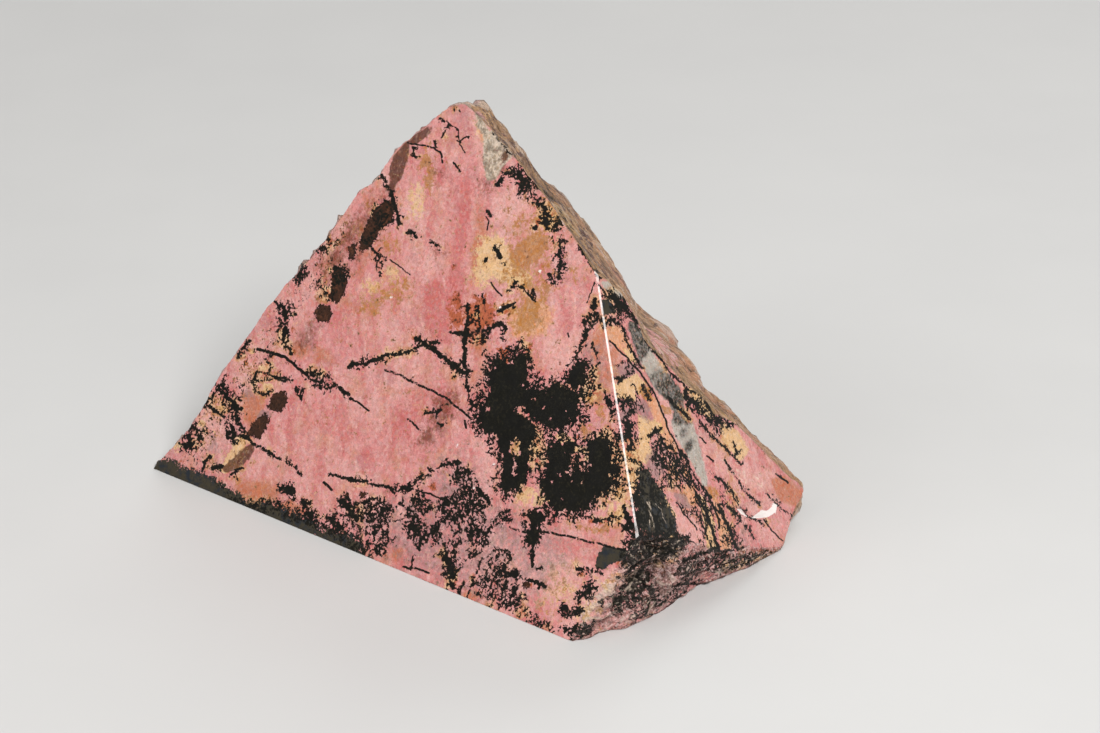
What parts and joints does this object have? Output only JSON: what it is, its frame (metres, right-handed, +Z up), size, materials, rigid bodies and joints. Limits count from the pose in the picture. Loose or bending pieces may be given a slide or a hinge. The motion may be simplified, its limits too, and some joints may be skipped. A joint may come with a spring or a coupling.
{
  "type": "rough rhodonite",
  "caption": "Hand-sized rough rhodonite, pink with black veins: sawn and polished front faces meet in a ridge above a sawn base, with broken and weathered sides and back.",
  "frame": {"origin": "middle of the bounding box's underside, on the sawn base", "axes": "+Z up; the picture looks along +Y, so -Y is the front, where the sawn faces are, and +X is to its right"},
  "size_m": [0.0924, 0.0712, 0.0582],
  "materials": {
    "rhodonite": "polished on the sawn faces, matt and rough elsewhere"
  },
  "bodies": {
    "root": {"rhodonite": "rhodonite"}
  },
  "joints": []
}
